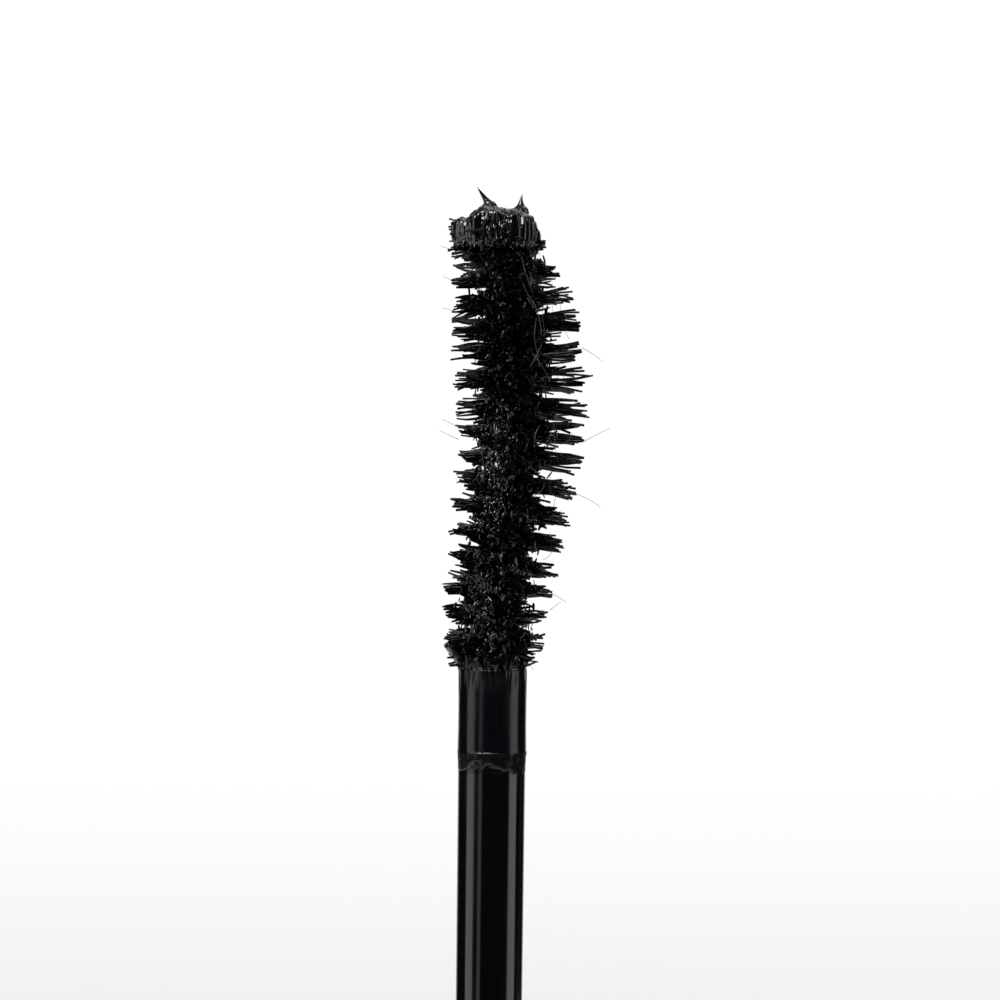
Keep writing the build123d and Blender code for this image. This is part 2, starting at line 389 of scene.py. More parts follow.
brush_length = 26.2 * mm
brush_straight = 2.8 * mm
first_bend_radius = 20 * mm
first_bend_angle = radians(9)
main_bend_radius = 58 * mm
row_pitch = 1.475 * mm
row_start = 1.5 * mm
row_count = 17
twist_pitch = 2 * row_pitch


def wire_at(distance):
    """Centre of the wire and its lean towards +X, at a distance along it from the stem's end."""
    centre = Vector((wand_x, 0, brush_base + min(distance, brush_straight)))
    lean = 0.0
    if distance > brush_straight:
        lean = min((distance - brush_straight) / first_bend_radius, first_bend_angle)
        centre.x += first_bend_radius * (1 - cos(lean))
        centre.z += first_bend_radius * sin(lean)
    first_end = brush_straight + first_bend_radius * first_bend_angle
    if distance > first_end:
        back = (distance - first_end) / main_bend_radius
        lean = first_bend_angle - back
        centre.x += main_bend_radius * (cos(lean) - cos(first_bend_angle))
        centre.z += main_bend_radius * (sin(first_bend_angle) - sin(lean))
    return centre, lean


def across(distance, side_angle):
    """Centre, outward direction at an angle from +X towards +Y, and direction along the wire."""
    centre, lean = wire_at(distance)
    along = Vector((sin(lean), 0, cos(lean)))
    bulge = Vector((cos(lean), 0, -sin(lean)))
    outward = bulge * cos(side_angle) + Vector((0, 1, 0)) * sin(side_angle)
    return centre, outward, along


def set_at(place, *directions):
    """A transform that turns a shape's axes to three directions and sets the shape at a place."""
    shape = Matrix(directions).transposed().to_4x4()
    shape.translation = place
    return shape


wire_mesh = bmesh.new()
strand_radius = 0.21 * mm
strand_steps = 260
wire_foot = -10 * mm
wire_head = brush_length - 0.8 * mm
for strand in range(2):
    ring = None
    for step in range(strand_steps + 1):
        distance = wire_foot + (wire_head - wire_foot) * step / strand_steps
        angle = pi * strand + 2 * pi * distance / twist_pitch
        centre, outward, along = across(distance, angle)
        facing = set_at(centre + outward * strand_radius, along.cross(outward), outward, along)
        made = bmesh.ops.create_circle(wire_mesh, cap_ends=step in (0, strand_steps), segments=10,
                                       radius=strand_radius, matrix=facing)
        edges = list({edge for vert in made["verts"] for edge in vert.link_edges})
        if ring:
            bmesh.ops.bridge_loops(wire_mesh, edges=ring + edges)
        ring = edges
wire = finish_mesh("twisted_wire", wire_mesh, 60)
wire_steel = grained(
    "drawn_steel_wire", (0.35, 0.35, 0.36), 6000, (0.3, 0.7), (0.25, 0.5), 0.004 * mm, 0.5, Metallic=1.0)
fit(wire, wire_steel, "wand", "wire_steel", "core_wire")


# ---------------- The bristles
# Nylon fibres lie across the wire and stand out on both sides, so the twist lays them out as a double
# ramp: seventeen half turns, each a row. Wet mascara gathers them in clumps, thick at the root.

# Share of the brush's length, reach on the hollow side, reach on the bulging side
brush_outline = [
    (0.0, 2.87, 2.85),
    (0.23, 3.02, 3.4),
    (0.52, 3.15, 4.25),
    (0.62, 3.4, 4.4),
    (0.73, 3.6, 3.95),
    (0.8, 3.45, 3.45),
    (0.89, 3.15, 2.5),
    (0.97, 2.9, 2.2),
]


def reach_at(distance, side_angle):
    """How far the fibres reach from the wire at a distance along it and an angle round it."""
    share = min(max(distance / brush_length, 0), brush_outline[-1][0])
    for low, high in zip(brush_outline, brush_outline[1:]):
        if share <= high[0]:
            part = (share - low[0]) / (high[0] - low[0])
            hollow, bulging = (low[i] + (high[i] - low[i]) * part for i in (1, 2))
            break
    middle = (hollow + bulging) / 2
    offset = (bulging - hollow) / 2
    sideways = offset * cos(side_angle)
    return (sideways + sqrt(middle ** 2 - (offset * sin(side_angle)) ** 2)) * mm


fibre_sides = 5
fibre_cuts = 3
pattern_mesh = bmesh.new()
bmesh.ops.create_cone(pattern_mesh, cap_ends=True, segments=fibre_sides, radius1=1, radius2=1, depth=1,
                      matrix=Matrix.Translation((0, 0, 0.5)))
lengthways = [edge for edge in pattern_mesh.edges if abs(edge.verts[0].co.z - edge.verts[1].co.z) > 0.5]
bmesh.ops.subdivide_edges(pattern_mesh, edges=lengthways, cuts=fibre_cuts, use_grid_fill=False)
fibre_pattern = mesh_data("fibre_pattern", pattern_mesh)


def lay_fibre(mesh, root, tip, bow, root_radius, tip_radius, lumps=0.0):
    """One closed fibre from root to tip that bows by a vector at its middle and thins to its tip."""
    before = len(mesh.verts)
    mesh.from_mesh(fibre_pattern)
    mesh.verts.ensure_lookup_table()
    run = (tip - root).normalized()
    side = run.orthogonal().normalized()
    other = run.cross(side)
    for index in range(before, len(mesh.verts)):
        point = mesh.verts[index]
        share = point.co.z
        thickness = root_radius + (tip_radius - root_radius) * share
        thickness *= 1 + lumps * sin(7 * share + 40 * root_radius / mm + root.x * 9000)
        centre = root.lerp(tip, share) + bow * (4 * share * (1 - share))
        point.co = centre + side * (point.co.x * thickness) + other * (point.co.y * thickness)


web_line = 25.2
web_droop = 1.1
fibre_lumps = 0.22


def under_web(place):
    """True below the mass at the tip. On the bulging side it has bent the last turns of bristles down."""
    rightward = min(1, max(0, (place.x - wand_x + 0.6 * mm) / (2 * mm)))
    return place.z < brush_base + (web_line - web_droop * rightward) * mm


def between(low, high):
    """A random length between two that are given in millimetres."""
    return dice.uniform(low, high) * mm


def stray(spread):
    """A random amount either way of none, mostly within its spread."""
    return dice.gauss(0, spread)


def lay_bristle(mesh, distance, turn, share_of_reach, tilt, root_radius, tip_radius):
    """One bristle at a distance along the wire and an angle round it."""
    centre, outward, along = across(distance, turn)
    sideways = along.cross(outward)
    reach = reach_at(distance, turn) * share_of_reach
    way = (outward + along * tilt + sideways * stray(0.05)).normalized()
    root = centre + outward * bristle_root
    tip = root + way * (reach - bristle_root)
    bow = (along * stray(0.1) + sideways * stray(0.08)) * mm
    if under_web(tip):
        lay_fibre(mesh, root, tip, bow, root_radius, tip_radius, fibre_lumps)


coated_fibre, shader = new_material("mascara_coated_fibre", (0.0012, 0.0012, 0.0016), Specular_IOR_Level=0.14)
wetness = pattern(shader, 1500, detail=3)
join(mapped(wetness, 0.35, 0.65, 0.12, 0.45), shader.inputs["Roughness"])
relief(shader, pattern(shader, 9000), 0.014 * mm, 0.5)

bristle_root = 0.9 * mm
clumps_per_row = 38
short_per_row = 64
clump_places = []
dice = Random(11)
for row in range(row_count):
    row_mesh = bmesh.new()
    row_middle = row_start + row * row_pitch
    for clump in range(clumps_per_row):
        turn = pi * (clump + dice.uniform(-0.4, 0.4)) / (clumps_per_row / 2)
        half_turn = (turn + pi / 2) % pi - pi / 2
        ramp = row_pitch * half_turn / pi
        distance = row_middle - ramp + stray(0.11 - 0.03 * cos(turn)) * mm
        lean_along = stray(0.075)
        clump_reach = dice.uniform(0.93, 1.03) if dice.random() < 0.8 else dice.uniform(0.72, 0.93)
        clump_places.append((distance, turn, clump_reach, lean_along))
        for fibre in range(dice.choice((1, 2, 2, 3, 3, 4))):
            lay_bristle(
                row_mesh, distance + stray(0.06) * mm, turn + stray(0.045),
                clump_reach * dice.uniform(0.94, 1.02), lean_along + stray(0.035),
                between(0.085, 0.13), between(0.05, 0.075))
    # Shorter bristles, bent and matted, fill between the rows on the brush's front and back
    for short in range(short_per_row):
        facing = dice.choice((-1, 1)) * pi / 2
        distance = row_middle + dice.uniform(-0.6, 0.6) * row_pitch
        lay_bristle(
            row_mesh, distance, facing + stray(0.5), dice.uniform(0.5, 0.86), stray(0.28),
            between(0.07, 0.13), between(0.05, 0.09))
    if row == 0:
        for low in range(70):
            lay_bristle(
                row_mesh, between(0.15, 1.0), dice.uniform(0, 2 * pi), dice.uniform(0.72, 0.97),
                dice.gauss(0.06, 0.12), between(0.08, 0.12), between(0.05, 0.07))
    number = f"{row + 1:02d}"
    bristles = finish_mesh("bristles_" + number, row_mesh, 50)
    fit(bristles, coated_fibre, "wand", "bristle_nylon", "bristle_row_" + number)


# ---------------- The mascara on the brush
# Wet paste packs the middle of the brush, climbs the roots of the clumps and clots between the rows, with
# wet scales on its face. The wiper has smeared it over the end of the stem.


def drop(group, centre, way, length, width):
    """One drop of paste, drawn out along a direction. A group of drops is melted together later."""
    way = way.normalized()
    side = way.orthogonal().normalized()
    group.append(set_at(centre, side * width, way.cross(side) * width, way * length))


def gathered(name, group, fine_size):
    """One piece that holds every drop of a group. The drops are made in batches, which is quicker."""
    mesh = bmesh.new()
    batch_size = 24
    for first in range(0, len(group), batch_size):
        batch = bmesh.new()
        for shape in group[first:first + batch_size]:
            detail = 2 if max(shape.to_scale()) > fine_size else 1
            bmesh.ops.create_icosphere(batch, subdivisions=detail, radius=1, matrix=shape)
        batch_data = mesh_data("batch", batch)
        mesh.from_mesh(batch_data)
        bpy.data.meshes.remove(batch_data)
    data = mesh_data(name, mesh)
    data.shade_smooth()
    return set_out(name, data)


def ruffle(data, push):
    """Push each point of a mesh along its normal, by a length that depends on where it is."""
    moved = [value for point in data.vertices for value in point.co + point.normal * push(point.co)]
    data.vertices.foreach_set("co", moved)
    data.update()


def melted(name, group, voxel, rounds, push):
    """Melt a group of drops into one closed skin, let it settle smooth, then ruffle it along its normals."""
    piece = gathered(name, group, 4 * voxel)
    data = piece.data
    skin = piece.modifiers.new("skin", "REMESH")
    skin.mode = "VOXEL"
    skin.voxel_size = voxel
    settle = piece.modifiers.new("settle", "SMOOTH")
    settle.factor = 0.5
    settle.iterations = rounds
    shaped = piece.evaluated_get(bpy.context.evaluated_depsgraph_get())
    final = bpy.data.meshes.new_from_object(shaped)
    piece.modifiers.clear()
    piece.data = final
    bpy.data.meshes.remove(data)
    final.name = name
    ruffle(final, push)
    final.shade_smooth()
    return piece


def from_stem(right, back, up):
    """A place given in millimetres from the centre of the stem's end."""
    return Vector((wand_x + right * mm, back * mm, brush_base + up * mm))


upward = Vector((0, 0, 1))
dice = Random(5)
paste_drops = []
packed_radius = 1.3 * mm
packed_length = brush_length - 1.9 * mm
packing_steps = 57
for step in range(packing_steps + 1):
    distance = packed_length * step / packing_steps
    centre, outward, along = across(distance, 0)
    swell = 1 + 0.1 * noise((distance * 900, 0, 3))
    drop(paste_drops, centre, along, packed_radius * swell, packed_radius * swell)
for distance, turn, clump_reach, lean_along in clump_places:
    centre, outward, along = across(distance, turn)
    load = dice.uniform(0.2, 1.0)
    far = (1.6 + 0.9 * load ** 2) * mm
    width = between(0.12, 0.26)
    way = (outward + along * lean_along).normalized()
    if not under_web(centre + way * far * 1.1):
        continue
    drop(paste_drops, centre + way * far * 0.62, way, far * 0.5, width)
    if dice.random() < 0.55:
        slip = along * stray(0.3) * mm + along.cross(outward) * stray(0.25) * mm
        spot = centre + way * dice.uniform(1.5, 2.3) * mm + slip
        drop(paste_drops, spot, along + outward * stray(0.4), between(0.12, 0.38), between(0.06, 0.12))
lump_count = 900
for lump in range(lump_count):
    distance = dice.uniform(0.2 * mm, packed_length)
    centre, outward, along = across(distance, dice.uniform(0, 2 * pi))
    way = outward * stray(0.6) + along * stray(1) + along.cross(outward) * stray(0.7)
    drop(paste_drops, centre + outward * dice.triangular(1.2, 2.05, 1.4) * mm, way,
         between(0.08, 0.34), between(0.06, 0.15))
# Lobes that hang over the stem's end, and the fillet where the paste was scraped down on the hollow side
lobe_count = 60
for lobe in range(lobe_count):
    turn = 2 * pi * lobe / lobe_count + dice.uniform(-0.1, 0.1)
    centre, outward, along = across(0, turn)
    hang = between(0.05, 0.5)
    drop(paste_drops, centre + outward * dice.uniform(1.8, 1.96) * mm + along * (0.4 * mm - hang * 0.5),
         along + outward * 0.12, 0.35 * mm + hang * 0.5, between(0.08, 0.17))
fillet_foot = from_stem(-1.95, 0, 0.05)
fillet_head = from_stem(-2.6, 0, 1.2)
for rib in range(9):
    swing = Matrix.Rotation(radians(-24 + 6 * rib + dice.uniform(-2, 2)), 3, "Z")
    hollow = Vector((0.1 * mm, 0, 0))
    for step in range(8):
        share = step / 7
        place = fillet_foot.lerp(fillet_head, share) + hollow * sin(pi * share)
        out = Vector((place.x - wand_x, 0, 0))
        spot = swing @ out + Vector((wand_x, 0, place.z))
        drop(paste_drops, spot, fillet_head - fillet_foot, 0.16 * mm, (0.12 + 0.16 * share) * mm)
for back in (-0.5, 0.0, 0.5):
    drop(paste_drops, from_stem(-2.0, back, 1.05), upward, 0.3 * mm, 0.25 * mm)


def rough_paste(place):
    return (noise(place * 3000) * 0.06 + noise(place * 7000) * 0.016) * mm


paste = melted("mascara_on_brush", paste_drops, 0.08 * mm, 2, rough_paste)
wet_mascara, shader = new_material("wet_mascara", (0.0009, 0.0009, 0.0014), IOR=1.48)
drying = pattern(shader, 1300, detail=4)
join(mapped(drying, 0.42, 0.66, 0.07, 0.34), shader.inputs["Roughness"])
join(mapped(drying, 0.38, 0.6, 0.28, 0.07), shader.inputs["Specular IOR Level"])
relief(shader, pattern(shader, 5000, detail=3), 0.014 * mm, 0.4)
fit(paste, wet_mascara, "wand", "mascara", "brush_coat")


def flake(group, centre, facing, way, length, width, thickness):
    """A wet scale of paste that lies facing one way, drawn out along another."""
    facing = facing.normalized()
    way = (way - facing * way.dot(facing)).normalized()
    side = facing.cross(way)
    group.append(set_at(centre, side * width, facing * thickness, way * length))


glossy_mascara = grained(
    "glossy_mascara", (0.0009, 0.0010, 0.0015), 4000, (0.35, 0.65), (0.05, 0.16), 0.008 * mm, 0.4,
    detail=3, IOR=1.55)
# Wet scales, thickest in two patches on the front of the hollow side, where the wiper pushed them up
scales = []
for scale in range(1000):
    distance = dice.uniform(0.4 * mm, packed_length - 1.0 * mm)
    turn = dice.uniform(0, 2 * pi)
    if scale < 640:
        low, high = dice.choice(((0.8, 7.0), (7.5, 15.0), (7.5, 15.0)))
        distance = dice.triangular(low, high) * mm
        turn = radians(dice.gauss(-110, 14))
    centre, outward, along = across(distance, turn)
    sideways = along.cross(outward)
    facing = outward + along * stray(0.4) + sideways * stray(0.45)
    way = along + outward * stray(0.4) + sideways * stray(0.6)
    flake(scales, centre + outward * dice.triangular(1.75, 2.35, 2.0) * mm, facing, way,
          between(0.1, 0.36), between(0.05, 0.13), between(0.025, 0.05))
wet_scales = gathered("wet_scales", scales, 0)
ruffle(wet_scales.data, lambda place: noise(place * 6000) * 0.04 * mm)
fit(wet_scales, glossy_mascara, "wand", "mascara", "brush_coat")


# ---------------- The mass at the tip
# Drawing the brush out of the wiper leaves a web of paste over the last rows. Two peaks were pulled up
# as it parted, and creases run down from its edge.

dice = Random(23)
tip_drops = []

# Distance across from the wand's axis, and height over the stem's end, along the web's upper edge
web_edge = [
    (-2.7, 25.2), (-1.7, 25.28), (-0.85, 26.1), (0.0, 25.95),
    (0.6, 25.85), (1.1, 25.9), (1.85, 25.4), (2.3, 24.4),
]
web_middle = -0.15
web_half_width = 2.36
web_half_depth = 1.85


def edge_height(right):
    """Height of the web's upper edge at a distance across from the wand's axis."""
    for low, high in zip(web_edge, web_edge[1:]):
        if right <= high[0]:
            return low[1] + (high[1] - low[1]) * max(0, right - low[0]) / (high[0] - low[0])
    return web_edge[-1][1]


def foot_height(right):
    """Height of the web's lower edge, which stays higher where the wide plate overhangs the hollow side."""
    return 23.5 + 0.3 * min(1, max(0, (-right - 0.6) / 1.2))


across_step = 0.2
for column in range(26):
    right = web_middle - web_half_width + across_step * (column + 0.5)
    if right > web_edge[-1][0]:
        break
    depth = web_half_depth * sqrt(max(0, 1 - ((right - web_middle) / web_half_width) ** 2))
    for line in range(-8, 9):
        back = line * across_step
        if abs(back) > depth:
            continue
        top = edge_height(right) - 0.5 * (abs(back) / web_half_depth) ** 2.5 - dice.uniform(0, 0.03)
        half = (top - foot_height(right)) / 2
        drop(tip_drops, from_stem(right, back, top - half), upward, half * mm, 0.24 * mm)
        drop(tip_drops, from_stem(right, back, top - 0.24), upward, 0.22 * mm, 0.17 * mm)
crease_count = 40
for crease in range(crease_count):
    turn = 2 * pi * crease / crease_count + dice.uniform(-0.07, 0.07)
    low_right = web_middle + web_half_width * cos(turn)
    low_back = web_half_depth * 1.08 * sin(turn)
    high_right = web_middle + web_half_width * 0.82 * cos(turn)
    high_back = web_half_depth * 0.85 * sin(turn)
    high_up = edge_height(high_right) - 0.45 * abs(sin(turn)) - dice.uniform(0.05, 0.3)
    high = from_stem(high_right, high_back, high_up)
    low = from_stem(low_right, low_back, foot_height(low_right) + dice.uniform(-0.4, 0.4))
    drop(tip_drops, (high + low) / 2, high - low, (high - low).length * 0.52, between(0.07, 0.16))


def draw_peak(foot, top, foot_radius, top_radius, bend=(0, 0, 0)):
    """A drawn-up peak of paste: a chain of drops that thin to a point."""
    peak_steps = 33
    for step in range(peak_steps + 1):
        share = step / peak_steps
        centre = from_stem(*foot).lerp(from_stem(*top), share) + Vector(bend) * mm * (4 * share * (1 - share))
        radius = foot_radius + (top_radius - foot_radius) * share ** 0.5
        drop(tip_drops, centre, upward, radius * mm, radius * mm)


draw_peak((-0.42, -0.3, 25.85), (-1.2, -0.35, 26.97), 0.4, 0.045, (0, 0, 0.03))
draw_peak((1.28, 0.05, 25.55), (1.34, 0.05, 26.62), 0.5, 0.045, (-0.03, 0, 0))
# The blunt end of the plate, with the tips of the bristles that it hangs between
draw_peak((-1.9, -0.4, 25.02), (-2.72, -0.4, 25.17), 0.26, 0.05)
draw_peak((-1.9, -0.4, 24.6), (-2.62, -0.4, 24.72), 0.3, 0.07)
draw_peak((-1.9, -0.3, 24.3), (-2.68, -0.3, 24.33), 0.3, 0.07)
draw_peak((-1.9, -0.3, 23.95), (-2.72, -0.3, 23.92), 0.26, 0.06)


def creased(place):
    folds = noise((place.x * 2700, place.y * 2700, place.z * 380))
    below_edge = (brush_base + 26 * mm - place.z) / (0.5 * mm)
    return (folds * 0.16 + noise(place * 4500) * 0.012) * mm * min(1, max(0.05, below_edge))


tip_mass = melted("mascara_at_tip", tip_drops, 0.05 * mm, 4, creased)
fit(tip_mass, glossy_mascara, "wand", "mascara", "brush_coat")
tip_scales = []
for scale in range(280):
    turn = dice.uniform(0, 2 * pi)
    right = web_middle + web_half_width * 0.95 * cos(turn)
    back = web_half_depth * sin(turn)
    low, high = foot_height(right), edge_height(right) - 0.6
    facing = Vector((cos(turn) + stray(0.4), sin(turn) + stray(0.2), dice.gauss(0.25, 0.3)))
    way = Vector((stray(0.2), stray(0.2), 1))
    flake(tip_scales, from_stem(right, back, dice.uniform(low, high)), facing, way,
          between(0.12, 0.42), between(0.04, 0.12), between(0.03, 0.06))
fit(gathered("wet_scales_at_tip", tip_scales, 0), glossy_mascara, "wand", "mascara", "brush_coat")


# ---------------- Stray hairs
# Fine loose fibres that stand out from the brush, and thin threads that the paste drew out as it was
# pulled apart. Both are stuck on by the mascara.

hair_mesh = bmesh.new()
dice = Random(31)

# Distance along the wire, angle round it and distance out, at the root and at the tip, then the bow upwards
loose_hairs = [
    ((17.9, -4, 3.9), (17.1, -4, 5.1), 0.05),
    ((12.9, -3, 4.0), (13.7, -3, 5.5), 0.02),
    ((10.2, 3, 3.6), (9.6, 3, 5.3), 0.1),
    ((4.5, -5, 3.1), (3.9, -5, 4.1), 0.03),
    ((3.3, 8, 3.2), (3.9, 8, 3.8), 0.0),
    ((0.6, -6, 1.8), (-0.15, -6, 2.3), 0.0),
    ((23.9, 178, 2.5), (24.3, 180, 3.5), -0.04),
    ((21.9, 176, 2.7), (22.5, 176, 3.6), 0.0),
    ((20.2, 182, 2.9), (20.6, 182, 3.8), 0.03),
    ((13.4, 180, 3.0), (13.9, 180, 4.0), 0.02),
    ((12.7, 184, 3.0), (13.2, 184, 4.1), 0.0),
]


def brush_spot(distance, turn, out):
    centre, outward, along = across(distance * mm, radians(turn))
    return centre + outward * out * mm


for root, tip, bow in loose_hairs:
    lay_fibre(hair_mesh, brush_spot(*root), brush_spot(*tip), Vector((0, 0, bow)) * mm, 0.016 * mm, 0.01 * mm)
fit(finish_mesh("stray_hairs", hair_mesh, 60), coated_fibre, "wand", "bristle_nylon")

thread_mesh = bmesh.new()
for thread in range(34):
    turn = dice.uniform(-75, -15) if thread < 20 else dice.uniform(-180, 180)
    low = dice.uniform(11, 22) if thread < 12 else dice.uniform(2, 22)
    span = dice.uniform(0.3, 1.5)
    ends = []
    for distance, swing in ((low, 0), (low + span, dice.uniform(-12, 12))):
        reach = reach_at(distance * mm, radians(turn + swing)) / mm
        ends.append(brush_spot(distance, turn + swing, dice.uniform(0.72, 0.92) * reach))
    sag = Vector((stray(0.12), stray(0.12), stray(0.05))) * mm
    lay_fibre(thread_mesh, ends[0], ends[1], sag, between(0.01, 0.018), 0.01 * mm)
# Threads that hang down the brush's front, most of them over the bulging side
hanging = [
    ((1.35, -2.75, 23.0), (2.0, -3.0, 21.0), (-0.06, 0, 0)),
    ((2.0, -2.8, 20.6), (2.5, -2.9, 18.6), (0.12, -0.1, 0)),
    ((2.2, -2.8, 19.6), (2.35, -3.1, 17.4), (-0.15, 0, 0)),
    ((2.6, -2.7, 18.4), (1.9, -3.1, 16.9), (0.05, -0.1, 0)),
    ((2.0, -2.9, 17.6), (3.0, -2.5, 16.1), (0.05, 0, 0.1)),
    ((3.3, -2.2, 13.6), (3.5, -2.1, 11.7), (-0.08, 0, 0)),
    ((-0.9, -3.0, 12.6), (-0.7, -3.1, 10.9), (0.1, 0, 0)),
]
for start, end, bow in hanging:
    lay_fibre(thread_mesh, from_stem(*start), from_stem(*end), Vector(bow) * mm, 0.014 * mm, 0.01 * mm)
threads = finish_mesh("drawn_threads", thread_mesh, 60)
pale_thread = grained("fine_grey_thread", (0.03, 0.03, 0.035), 2500, (0.3, 0.7), (0.2, 0.6), 0.004 * mm, 0.5)
fit(threads, pale_thread, "wand", "bristle_nylon")


# ---------------- The cap
# A deep moulded cup in polished black plastic. It stands on its closed end, and the step in its bore
# stops the threaded liner that is pressed in from above.


def radius_of(node):
    """Outer radius of a round CAD piece."""
    low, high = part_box(node)
    return (high.x - low.x) / 2


body_radius = radius_of("cap_shell")
cap_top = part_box("cap_collar")[1].z
cap_collar_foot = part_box("cap_collar")[0].z
cap_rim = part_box("cap_shell")[1].z
liner_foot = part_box("cap_liner")[0].z
liner_radius = radius_of("cap_liner")
shell_bore = 8.5 * mm
collar_bore = 9.1 * mm
seat_width = 0.4 * mm
liner_step = socket_floor - 1.6 * mm
cap_end = 1.4 * mm
edge_break = 0.08 * mm
end_round = 0.9 * mm

cap = finish_mesh("cap", turned_mesh([
    (0, 0),
    (body_radius, 0, end_round),
    (body_radius, cap_collar_foot),
    (collar_bore, cap_collar_foot),
    (collar_bore, cap_rim),
    (shell_bore, cap_rim),
    (shell_bore, liner_step),
    (shell_bore - seat_width, liner_step),
    (shell_bore - seat_width, cap_end),
    (0, cap_end),
], wand_axis, edge_break))
gloss_black, shader = new_material("moulded_black_gloss", (0.004, 0.004, 0.0048), IOR=1.5)
handling = pattern(shader, 90, (1, 1, 0.5), detail=5)
join(mapped(handling, 0.42, 0.68, 0.06, 0.17), shader.inputs["Roughness"])
relief(shader, pattern(shader, 320), 0.012 * mm, 0.12)
scuffs = pattern(shader, 2600, (1, 1, 0.03), detail=4)
relief(shader, mapped(scuffs, 0.62, 0.72, 0, 1), 0.003 * mm, 0.3)
fit(cap, gloss_black, "wand", "gloss_black", "cap_shell")


# ---------------- The cap's trim collar
# A band of thin anodised aluminium round the cap's mouth. Its lip is rolled in over the rim, and fine
# lines from turning run round it.


def collar_band(name, foot, top, axis):
    """A band that stands in the shell's rebate with a lip over the rim."""
    lip_bore = shell_bore - seat_width
    lip = 0.4 * mm
    return finish_mesh(name, turned_mesh([
        (collar_bore, foot),
        (body_radius, foot),
        (body_radius, top, 0.16 * mm),
        (lip_bore, top),
        (lip_bore, top - lip),
        (collar_bore, top - lip),
    ], axis, 0.05 * mm))


trim_metal, shader = new_material("anodised_aluminium", (0.52, 0.52, 0.54), Metallic=1.0)
turning = pattern(shader, 9000, (0.004, 0.004, 1), detail=3)
bands = pattern(shader, 1400, (0.02, 0.02, 1), detail=2)
wear = pattern(shader, 260, detail=4)
lines = mapped(turning, 0.3, 0.7, 0.16, 0.3)
join(maths("ADD", lines, mapped(wear, 0.5, 0.72, 0, 0.14)), shader.inputs["Roughness"])
relief(shader, turning, 0.004 * mm, 0.5)
relief(shader, bands, 0.006 * mm, 0.25)
cap_collar = collar_band("cap_collar_band", cap_collar_foot, cap_top, wand_axis)
fit(cap_collar, trim_metal, "wand", "trim_metal", "cap_collar")


# ---------------- The cap's liner
# A matt black moulded cup with the screw thread inside it. The hub under its floor grips the stem's
# head, and mascara from the neck has dried in its thread and over its floor.

socket_radius = 7.5 * mm
hub_radius = 3.6 * mm
hub_bore = stem_head_radius + 0.05 * mm
thread_height = 0.7 * mm
thread_pitch = 3.0 * mm
thread_turns = 1.6
thread_rim_distance = 2.4 * mm


def add_thread(mesh, axis, wall, reach, rim):
    """A right-handed ridge below a rim, that stands out from a wall by reach and fades in at both ends."""
    bottom = rim - thread_rim_distance - thread_pitch * thread_turns
    root = 0.75 * mm
    crest = 0.3 * mm
    sink = -copysign(0.15 * mm, reach)
    ridge = bmesh.new()
    section = [(wall + sink, -root), (wall + reach, -crest), (wall + reach, crest), (wall + sink, root)]
    corners = [ridge.verts.new((axis[0] + radius, axis[1], bottom + height)) for radius, height in section]
    join_up(ridge, corners)
    spun(ridge, axis, 110, 2 * pi * thread_turns, thread_pitch * thread_turns)
    ends = [edge for edge in ridge.edges if edge.is_boundary]
    bmesh.ops.holes_fill(ridge, edges=ends, sides=4)
    for point in ridge.verts:
        spoke = Vector((point.co.x - axis[0], point.co.y - axis[1], 0))
        angle = atan2(spoke.y, spoke.x) / (2 * pi) % 1
        turns = angle + round((point.co.z - bottom) / thread_pitch - angle)
        fade = min(1, max(0.02, min(turns, thread_turns - turns) / 0.12))
        radius = wall + sink + (spoke.length - wall - sink) * fade
        point.co += spoke.normalized() * (radius - spoke.length)
    bmesh.ops.recalc_face_normals(ridge, faces=ridge.faces)
    ridge_data = mesh_data("ridge", ridge)
    mesh.from_mesh(ridge_data)
    bpy.data.meshes.remove(ridge_data)


liner_mesh = turned_mesh([
    (hub_bore, liner_foot),
    (hub_radius, liner_foot),
    (hub_radius, liner_step),
    (liner_radius, liner_step),
    (liner_radius, cap_rim),
    (socket_radius, cap_rim, 0.25 * mm),
    (socket_radius, socket_floor, 0.25 * mm),
    (hub_bore, socket_floor),
], wand_axis, edge_break)
add_thread(liner_mesh, wand_axis, socket_radius, -thread_height, cap_rim)
liner = finish_mesh("cap_liner_cup", liner_mesh)


def with_dried_mascara(shader, roughness, amount, scale, origin):
    """Patches of dried mascara over the clean finish, more of them where amount is higher."""
    blots = pattern(shader, scale, origin=origin, detail=9)
    covered = mapped(maths("ADD", blots, amount), 0.95, 1.06, 0, 1)
    clean = shader.inputs["Base Color"].default_value[:]
    join(blend(covered, clean, (0.0015, 0.0015, 0.002, 1), "RGBA"), shader.inputs["Base Color"])
    join(blend(covered, roughness, 0.24), shader.inputs["Roughness"])
    relief(shader, covered, 0.05 * mm, 0.6)


def up_from(shader, low, high, low_amount, high_amount):
    """An amount that changes with height."""
    split = shader.id_data.nodes.new("ShaderNodeSeparateXYZ")
    join(placed(shader), split.inputs[0])
    return mapped(split.outputs["Z"], low, high, low_amount, high_amount)


liner_plastic, shader = new_material("matt_black_moulding", (0.02, 0.02, 0.021), IOR=1.48)
mould_grain = pattern(shader, 5200, detail=3)
grain_roughness = mapped(mould_grain, 0.3, 0.7, 0.38, 0.55)
amount = up_from(shader, socket_floor, cap_rim, 0.52, 0.4)
with_dried_mascara(shader, grain_roughness, amount, 420, (*wand_axis, socket_floor))
relief(shader, mould_grain, 0.006 * mm, 0.4)
fit(liner, liner_plastic, "wand", "liner_plastic", "cap_liner")


# ---------------- The sealing washer
# A loose ring punched from closed-cell foam sheet. It lies on the liner's floor round the stem's flange,
# and the neck's rim has pressed a groove into it.

